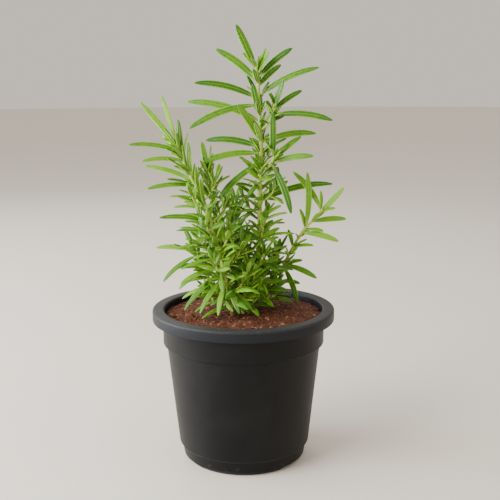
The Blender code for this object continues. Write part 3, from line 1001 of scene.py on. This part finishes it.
def clear_of_lines(points, free, own, gap):
    """Whether points keep off every stem and twig; the first ones may be near their own."""
    lines = [*plant["stems"].values(), *all_twigs()]
    others = np.concatenate([line.route for line in lines if line is not own])
    return gap_between(points[2:], others) > gap and gap_between(points[free:], own.route) > gap


def add_if_clear(leaves, leaf, own, clearance):
    """Keep a leaf when nothing is in its way."""
    points = leaf.points(9)
    if not inside_part(points[2:]) or not clear_of_lines(points, 5, own, LEAF_TO_STEM):
        return False
    near = plant["spots"][np.linalg.norm(plant["spots"] - points[4], axis=1) < NEIGHBOURHOOD]
    if gap_between(points[3:], near) < clearance:
        return False
    leaves.append(leaf)
    plant["spots"] = np.vstack([plant["spots"], leaf.points(12)[2:]])
    return True


def grow_twig(stem, share, angle, length):
    """A short side twig that leaves its stem outwards and turns up."""
    point, direction, radius = stem.at(share)
    out = outward(direction, angle)
    t = np.linspace(0.0, 1.0, 9)[:, None]
    sideways, upwards = 0.88 * t - 0.26 * t ** 2, 0.22 * t + 0.42 * t ** 2
    route = point + out * radius * 0.5 + length * (out * sideways + UP * upwards)
    return Line(route, np.linspace(0.75, 0.50, len(route)) * MM)


def grow_leaf(line, share, angle, rise, length, settings, chance):
    """A small leaf that starts on a stem or twig and heads outwards and upwards."""
    point, direction, radius = line.at(share)
    out = outward(direction, angle)
    reach = length * (out * math.cos(rise) + direction * math.sin(rise))
    base = point + out * radius * 0.7
    along = unit(reach)
    lift = less(direction, along)
    crown = base + reach / 2 + lift * settings.arch * length
    facing = unit(lift) + chance.uniform(0.4, 1.0) * less(LIGHT, along)
    across = unit(np.cross(facing, along))
    size = min(1.0, 0.52 + length / FULL_LENGTH)
    tone = 0.48 + 0.30 * chance.uniform(-1, 1) + tone_of_place(base)
    return Leaf(
        base, crown, base + reach, across, settings.small_width * size,
        settings.leaf_thickness * size, tone, chance.random(), chance.uniform(-0.35, 0.35),
    )


def add_extra(leaves, stem, height, reach, settings, chance):
    """A long leaf from a height on a stem, a little shorter if something is in its way."""
    levels = stem.route[:, 2] - SOIL_TOP
    share = float(np.interp(height, levels, stem.reached)) / stem.length
    angle = math.atan2(reach[1], reach[0])
    length = np.linalg.norm(reach)
    for attempt in range(EXTRA_TRIES):
        leaf = grow_leaf(stem, share, angle, 0.0, length, settings, chance)
        change = reach * (1 - 0.06 * attempt) - (leaf.tip - leaf.base)
        leaf.tip = leaf.tip + change
        leaf.crown = leaf.crown + change / 2
        leaf.width *= 0.95
        if add_if_clear(leaves, leaf, stem, 0.75 * settings.clearance):
            return


def grow_pairs(leaves, line, cover, steps, lengths, rises, turn, settings, chance):
    """Opposite pairs along a line, each a quarter turn from the last."""
    room = (cover[1] - cover[0]) * line.length
    count = max(2, round(2 * room / (steps[0] + steps[1])))
    ease = steps[0] / (steps[0] + steps[1])
    for i in range(count):
        blend = i / (count - 1)
        blend = 2 * ease * blend + (1 - 2 * ease) * blend ** 2
        share, full, level = [part_way(ends, blend) for ends in (cover, lengths, rises)]
        for half_turn in (0, 180):
            for attempt in range(PAIR_TRIES):
                spread = 12 + 7 * attempt
                angle = turn + 90 * i + half_turn + chance.uniform(-spread, spread)
                rise = math.radians(level + chance.uniform(-14, 14))
                length = full * chance.uniform(0.78, 1.20) * (1 - 0.04 * attempt)
                place = min(1.0, share + chance.uniform(-0.8, 0.8) * MM / line.length)
                leaf = grow_leaf(line, place, math.radians(angle), rise, length, settings, chance)
                if add_if_clear(leaves, leaf, line, settings.clearance):
                    break


def grow_tuft(leaves, line, parent, settings, chance):
    """Two young leaves that stand in the angle between a leaf and its stem."""
    share = line.nearest(parent.base)[0]
    reach = parent.tip - parent.base
    heading = math.degrees(math.atan2(reach[1], reach[0]))
    for side in (-1, 1):
        for _ in range(TUFT_TRIES):
            angle = math.radians(heading + side * chance.uniform(15, 60))
            rise = math.radians(chance.uniform(42, 72))
            length = chance.uniform(6.5, 11.0) * MM
            place = min(1.0, share + 0.8 * MM / line.length)
            leaf = grow_leaf(line, place, angle, rise, length, settings, chance)
            leaf.tone += 0.22
            leaf.width *= 0.80
            if add_if_clear(leaves, leaf, line, 0.80 * settings.clearance):
                break


def foliage(name, leaves, model):
    """One object that holds bent copies of the model leaf."""
    points, faces = model
    place = np.column_stack([
        points[:, 0] / np.abs(points[:, 0]).max(), points[:, 2], points[:, 1] > -0.2,
    ])
    return join_copies(name, [(leaf.bend(points), faces) for leaf in leaves], {
        "leaf_place": [place] * len(leaves),
        "tone": [np.full(len(points), leaf.tone) for leaf in leaves],
        "dry": [np.full(len(points), leaf.dry) for leaf in leaves],
    })


# ---- operators
class ROSEMARY_OT_studio(bpy.types.Operator):
    """Set up the floor, the soft lights and the camera"""

    bl_idname = "rosemary.studio"
    bl_label = "Studio"

    def execute(self, context):
        settings = context.scene.rosemary_studio
        deselect_all()
        bpy.ops.mesh.primitive_circle_add(vertices=64, radius=6.0, fill_type="NGON")
        floor = fresh("floor")
        edit_all()
        bpy.ops.mesh.inset(thickness=4.5)
        bpy.ops.object.mode_set(mode="OBJECT")
        floor.data.materials.append(floor_look(settings))
        self.light("key_light", (-0.95, -0.65, 0.80), 0.9, settings.key_power, (1.0, 0.98, 0.94))
        self.light("side_light", (-1.15, 0.10, 0.20), 1.0, settings.side_power, (0.93, 0.96, 1.0))
        self.light("fill_light", (0.90, -0.35, 0.45), 0.7, settings.fill_power, (1.0, 0.90, 0.78))
        back_power = 1.5 * settings.fill_power
        self.light("back_light", (-0.35, 0.95, 0.75), 0.7, back_power, (1.0, 0.96, 0.90))
        world = bpy.data.worlds.new("studio_surround")
        world.use_nodes = True
        surround = world.node_tree.nodes["Background"]
        surround.inputs["Color"].default_value = (*settings.sky_colour, 1.0)
        surround.inputs["Strength"].default_value = settings.sky_strength
        context.scene.world = world
        self.camera(context.scene, settings)
        return {"FINISHED"}

    @staticmethod
    def light(name, place, size, power, colour):
        """A soft round light that points at the plant."""
        data = bpy.data.lights.new(name, "AREA")
        data.shape = "DISK"
        data.size = size
        data.energy = power
        data.color = colour
        lamp = bpy.data.objects.new(name, data)
        lamp.location = place
        aim = Vector((0.0, 0.0, PLANT_MIDDLE)) - lamp.location
        lamp.rotation_euler = aim.to_track_quat("-Z", "Y").to_euler()
        bpy.context.scene.collection.objects.link(lamp)

    @staticmethod
    def camera(scene, settings):
        data = bpy.data.cameras.new("camera")
        data.sensor_width = 36.0
        data.lens = settings.lens
        data.clip_start = 0.02
        camera = bpy.data.objects.new("camera", data)
        turned = (
            Matrix.Rotation(-settings.pan, 4, "Z")
            @ Matrix.Rotation(math.pi / 2 - settings.tilt, 4, "X")
            @ Matrix.Rotation(settings.roll, 4, "Z")
        )
        place = Matrix.Translation((0.0, -settings.distance, settings.height))
        camera.matrix_world = place @ turned
        scene.collection.objects.link(camera)
        scene.camera = camera


class ROSEMARY_OT_pot(bpy.types.Operator):
    """Turn the pot from its outline, round its edges and cut its notches and drain holes"""

    bl_idname = "rosemary.pot"
    bl_label = "Pot"

    def execute(self, context):
        settings = context.scene.rosemary_pot
        pot = draw_profile("nursery_pot", profile_of("pot"))
        choose(pot, lambda co: co.x > 1 * MM)
        bpy.ops.mesh.bevel(
            offset_type="OFFSET", offset=settings.edge_rounding, segments=2, affect="VERTICES",
            clamp_overlap=True,
        )
        turn(settings.turn_steps)
        cutters = [self.notch(settings, i) for i in range(NOTCHES)]
        cutters += [self.drain(settings, i) for i in range(DRAINS)]
        for cutter in cutters:
            cut = pot.modifiers.new(cutter.name, "BOOLEAN")
            cut.operation = "DIFFERENCE"
            cut.solver = "EXACT"
            cut.object = cutter
        apply_modifiers(pot)
        discard(*cutters)
        take(pot)
        bpy.ops.object.shade_smooth_by_angle(angle=math.radians(38.0))
        dress(pot, pot_look(settings), "pot_plastic", ["pot"])
        return {"FINISHED"}

    @staticmethod
    def notch(settings, i):
        """An arched cutter that lies across the foot ring."""
        angle = settings.first_notch + math.tau * i / NOTCHES
        deselect_all()
        bpy.ops.mesh.primitive_cylinder_add(
            vertices=40, radius=1.0, depth=NOTCH_DEPTH, rotation=(0.0, math.pi / 2, angle),
            location=(FOOT_MIDDLE * math.cos(angle), FOOT_MIDDLE * math.sin(angle), 0.0),
            scale=(settings.notch_height, settings.notch_half_width, 1.0),
        )
        return fresh(f"notch_cutter_{i + 1}")

    @staticmethod
    def drain(settings, i):
        """A round cutter that goes through the floor."""
        angle = settings.first_notch + math.tau * i / DRAINS
        x, y = settings.drain_ring * math.cos(angle), settings.drain_ring * math.sin(angle)
        deselect_all()
        bpy.ops.mesh.primitive_cylinder_add(
            vertices=32, radius=settings.drain_radius, depth=DRAIN_DEPTH,
            location=(x, y, FLOOR_MIDDLE),
        )
        return fresh(f"drain_cutter_{i + 1}")


class ROSEMARY_OT_soil(bpy.types.Operator):
    """Turn the soil bed and give its top lumps and hollows"""

    bl_idname = "rosemary.soil"
    bl_label = "Soil bed"

    def execute(self, context):
        settings = context.scene.rosemary_soil
        bed = draw_profile("soil_bed", profile_of("soil"))
        edge_z = SOIL_TOP - SOIL_MOUND - 0.05 * MM
        choose_edges(bed, lambda a, b: min(a.z, b.z) > edge_z)
        bpy.ops.mesh.subdivide(number_cuts=8)
        turn(settings.turn_steps)
        top = bed.vertex_groups.new(name="top")
        inside = SOIL_RADIUS - 1.0 * MM
        rows = [
            vertex.index for vertex in bed.data.vertices
            if vertex.co.z > edge_z - 0.5 * MM and vertex.co.xy.length < inside
        ]
        top.add(rows, 1.0, "REPLACE")
        self.roughen(bed, "lumps", settings.lump_size, settings.lump_height)
        self.roughen(bed, "clods", settings.lump_size * 0.34, settings.lump_height * 0.75)
        apply_modifiers(bed)
        take(bed)
        bpy.ops.object.shade_smooth_by_angle(angle=math.radians(60.0))
        dress(bed, soil_look(settings, "damp_soil", loose=False), "potting_soil", ["soil"])
        return {"FINISHED"}

    @staticmethod
    def roughen(bed, name, size, height):
        """Raise and lower the top by a cloudy noise."""
        texture = bpy.data.textures.new(name, "CLOUDS")
        texture.noise_scale = size
        texture.noise_depth = 3
        displace = bed.modifiers.new(name, "DISPLACE")
        displace.texture = texture
        displace.texture_coords = "LOCAL"
        displace.vertex_group = "top"
        displace.direction = "Z"
        displace.mid_level = 0.5
        displace.strength = height


class ROSEMARY_OT_crumbs(bpy.types.Operator):
    """Scatter loose crumbs and fibres over the soil"""

    bl_idname = "rosemary.crumbs"
    bl_label = "Soil crumbs"

    def execute(self, context):
        settings = context.scene.rosemary_soil
        chance = random.Random(settings.seed)
        models = [
            model_crumb("model_crumb_a", 1, 0.75), model_crumb("model_crumb_b", 4, 0.6),
            model_crumb("model_crumb_c", 9, 0.9), model_fibre(),
        ]
        *crumbs, fibre = [shape_of(model) for model in models]
        material = soil_look(settings, "loose_soil", loose=True)
        loose = self.scatter(
            "soil_crumbs", settings.crumbs, chance, 0.25,
            lambda: (settings.crumb_size * chance.lognormvariate(0.0, 0.48), chance.choice(crumbs)),
            lambda: chance.random() ** 2.4,
        )
        loose.data.shade_flat()
        fibres = self.scatter(
            "soil_fibres", settings.fibres, chance, -0.12,
            lambda: (chance.uniform(1.2, 2.8) * MM, fibre),
            lambda: chance.uniform(0.3, 0.95),
        )
        dress(loose, material, "potting_soil")
        dress(fibres, material, "potting_soil")
        discard(*models)
        return {"FINISHED"}

    def scatter(self, name, count, chance, sink, draw, draw_tone):
        """Copies over the soil: draw gives each a size and a shape."""
        bed = bpy.data.objects["soil_bed"].data
        ground = BVHTree.FromPolygons(
            [vertex.co for vertex in bed.vertices], [face.vertices for face in bed.polygons],
        )
        copies, tones = [], []
        for _ in range(count):
            spot = self.spot(chance, ground)
            if spot is not None:
                size, (points, faces) = draw()
                copies.append((self.put(points, spot, size, chance, sink), faces))
                tones.append(np.full(len(points), draw_tone()))
        return join_copies(name, copies, {"tone": tones})

    @staticmethod
    def spot(chance, ground):
        """A place on the soil, more often at the left and the front."""
        radius = (SOIL_RADIUS - 1.6 * MM) * math.sqrt(chance.random())
        angle = chance.uniform(0.0, math.tau)
        x, y = radius * math.cos(angle), radius * math.sin(angle)
        crowded = 0.62 - 0.38 * x / SOIL_RADIUS - 0.12 * y / SOIL_RADIUS
        if chance.random() > crowded:
            return None
        return ground.ray_cast(Vector((x, y, 0.2)), Vector((0.0, 0.0, -1.0)))[0]

    @staticmethod
    def put(points, spot, size, chance, sink):
        """Turn, stretch and place a copy, sunk by a share of its size; crumbs are tipped too."""
        turned = Matrix.Rotation(chance.uniform(0, math.tau), 3, "Z")
        if sink > 0:
            turned = turned @ Matrix.Rotation(chance.uniform(-0.6, 0.6), 3, "X")
        stretch = np.array((chance.uniform(0.8, 1.3), 1.0, 1.0))
        sunk = np.array(spot) - (0, 0, size * sink)
        return (points * stretch * size) @ np.array(turned).T + sunk


class ROSEMARY_OT_stems(bpy.types.Operator):
    """Lay a ribbed stem with swollen leaf joints along each stem of the frame"""

    bl_idname = "rosemary.stems"
    bl_label = "Stems"

    def execute(self, context):
        models = [model_stem(90, 12), model_stem(12, 8)]
        (points, faces), (twig_points, twig_faces) = [shape_of(model) for model in models]
        young = stem_look("young_stem", woody=False)
        woody = stem_look("woody_stem", woody=True)
        for name, stem in plant["stems"].items():
            joints = [stem.nearest(leaf.base)[0] for leaf in plant["leaves"][name]]
            placed, swell = self.bend(points, stem, joints)
            piece = join_copies(name + "_skin", [(placed, faces)], {
                "along": [np.clip(points[:, 2], 0.0, 1.0)], "swell": [swell],
            })
            if name == WOODY_STEM:
                dress(piece, woody, "woody_stem", [name])
            else:
                slot = "leafy_shoot" if name in SHOOT_TOPS else "young_stem"
                dress(piece, young, slot, [name])
        bent = [self.bend(twig_points, twig, []) for twig in all_twigs()]
        piece = join_copies("side_twigs", [(placed, twig_faces) for placed, _ in bent], {
            "along": [0.4 + 0.6 * np.clip(twig_points[:, 2], 0.0, 1.0)] * len(bent),
            "swell": [swell for _, swell in bent],
        })
        dress(piece, young, "young_stem")
        discard(*models)
        return {"FINISHED"}

    @staticmethod
    def bend(points, stem, joints):
        """Vertices along the stem, and how near each is to a leaf joint."""
        placed = np.empty_like(points)
        swell = np.zeros(len(points))
        side = np.array((1.0, 0.0, 0.0))
        for i in np.argsort(points[:, 2], kind="stable"):
            share = points[i, 2]
            point, direction, radius = stem.at(share)
            point = point + direction * max(share - 1.0, 0.0) * stem.length
            side = unit(less(side, direction))
            through = np.cross(direction, side)
            if joints:
                gap = np.abs(np.array(joints) - share).min() * stem.length
                swell[i] = math.exp(-((gap / JOINT_REACH) ** 2))
            wide = radius * (1.0 + JOINT_SWELL * swell[i])
            placed[i] = point + (side * points[i, 0] + through * points[i, 1]) * wide
        return placed, swell


class ROSEMARY_OT_leaves(bpy.types.Operator):
    """Shape the large leaves on the frame's leaves, then add twigs and small leaves"""

    bl_idname = "rosemary.leaves"
    bl_label = "Leaves"

    def execute(self, context):
        settings = context.scene.rosemary_foliage
        chance = random.Random(settings.seed)
        stems = read_stems()
        model = model_leaf()
        shape = shape_of(model)
        model.modifiers.new("rounding", "SUBSURF").levels = 1
        apply_modifiers(model)
        large_shape = shape_of(model)
        material = leaf_look(settings)
        for name, stem in stems.items():
            nodes = sorted(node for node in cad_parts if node.startswith(name + "_leaf_"))
            leaves = [leaf_from_node(node, stem, settings, chance) for node in nodes]
            plant["leaves"][name] = leaves
            for leaf in leaves:
                plant["spots"] = np.vstack([plant["spots"], leaf.points(14)[2:]])
            if leaves:
                piece = foliage(name + "_large_leaves", leaves, large_shape)
                dress(piece, material, "leaf_green", nodes)
        for name, stem in stems.items():
            self.add_twigs(name, stem, chance)
        for name, stem in stems.items():
            small = self.fill(name, stem, settings, chance)
            piece = foliage(name + "_small_leaves", small, shape)
            dress(piece, material, "leafy_shoot" if name in SHOOT_TOPS else "leaf_green")
            plant["leaves"][name] = plant["leaves"][name] + small
        discard(model)
        return {"FINISHED"}

    @staticmethod
    def add_twigs(name, stem, chance):
        """Short twigs up the lower part of a stem, each a golden angle from the last."""
        count, full = GROWTH[name].twigs
        plant["twigs"][name] = []
        for i in range(count):
            for _ in range(TWIG_TRIES):
                share = 0.07 + 0.62 * (i + chance.uniform(0.1, 0.9)) / count
                angle = GROWTH[name].turn + GOLDEN_ANGLE * i + chance.uniform(-60, 60)
                length = full * MM * (1.1 - 0.5 * share) * chance.uniform(0.75, 1.1)
                twig = grow_twig(stem, share, math.radians(angle), length)
                route = twig.route
                beyond = route + 5 * MM * unit(route - route[0] + 1e-9)
                if (
                    inside_part(beyond[2:]) and clear_of_lines(route, 5, stem, TWIG_TO_STEM)
                    and gap_between(route[3:], plant["spots"]) > TWIG_TO_LEAF
                ):
                    plant["twigs"][name].append(twig)
                    break

    @staticmethod
    def fill(name, stem, settings, chance):
        """The small leaves of a stem and of its twigs, then the short ones in their angles."""
        growth = GROWTH[name]
        small = []
        for height, reach in EXTRA_LEAVES.get(name, ()):
            add_extra(small, stem, height * MM, np.array(reach) * MM, settings, chance)
        lengths = [value * MM for value in growth.length]
        steps = [value * MM for value in growth.step]
        grow_pairs(
            small, stem, growth.cover, steps, lengths, growth.rise, growth.turn, settings, chance,
        )
        on_stem = plant["leaves"][name] + small
        for twig in plant["twigs"][name]:
            longest = min(16 * MM, max(11 * MM, 0.9 * twig.length))
            grow_pairs(
                small, twig, (0.22, 0.99), TWIG_STEPS, (longest, 0.72 * longest), (6, 66),
                chance.uniform(0, 90), settings, chance,
            )
        for leaf in on_stem:
            if chance.random() < growth.tuft:
                grow_tuft(small, stem, leaf, settings, chance)
        return small


class ROSEMARY_PT_panel(bpy.types.Panel):
    """Lists the steps that build the plant"""

    bl_idname = "ROSEMARY_PT_panel"
    bl_label = "Potted Rosemary"
    bl_space_type = "VIEW_3D"
    bl_region_type = "UI"
    bl_category = "Rosemary"

    def draw(self, context):
        for operator in OPERATORS:
            self.layout.operator(operator.bl_idname)
        for name in SETTINGS:
            group = getattr(context.scene, name)
            box = self.layout.box()
            for key in group.bl_rna.properties.keys():
                if key not in ("rna_type", "name"):
                    box.prop(group, key)


OPERATORS = (
    ROSEMARY_OT_studio, ROSEMARY_OT_pot, ROSEMARY_OT_soil, ROSEMARY_OT_crumbs,
    ROSEMARY_OT_leaves, ROSEMARY_OT_stems,
)


def register():
    for group in SETTINGS.values():
        bpy.utils.register_class(group)
    for operator in OPERATORS:
        bpy.utils.register_class(operator)
    bpy.utils.register_class(ROSEMARY_PT_panel)
    for name, group in SETTINGS.items():
        setattr(bpy.types.Scene, name, PointerProperty(type=group))


def unregister():
    for name in SETTINGS:
        delattr(bpy.types.Scene, name)
    bpy.utils.unregister_class(ROSEMARY_PT_panel)
    for operator in reversed(OPERATORS):
        bpy.utils.unregister_class(operator)
    for group in reversed(list(SETTINGS.values())):
        bpy.utils.unregister_class(group)


def main():
    register()
    bpy.ops.rosemary.studio()
    bpy.ops.rosemary.pot()
    bpy.ops.rosemary.soil()
    bpy.ops.rosemary.crumbs()
    bpy.ops.rosemary.leaves()
    bpy.ops.rosemary.stems()
    deselect_all()


if __name__ == "__main__":
    main()
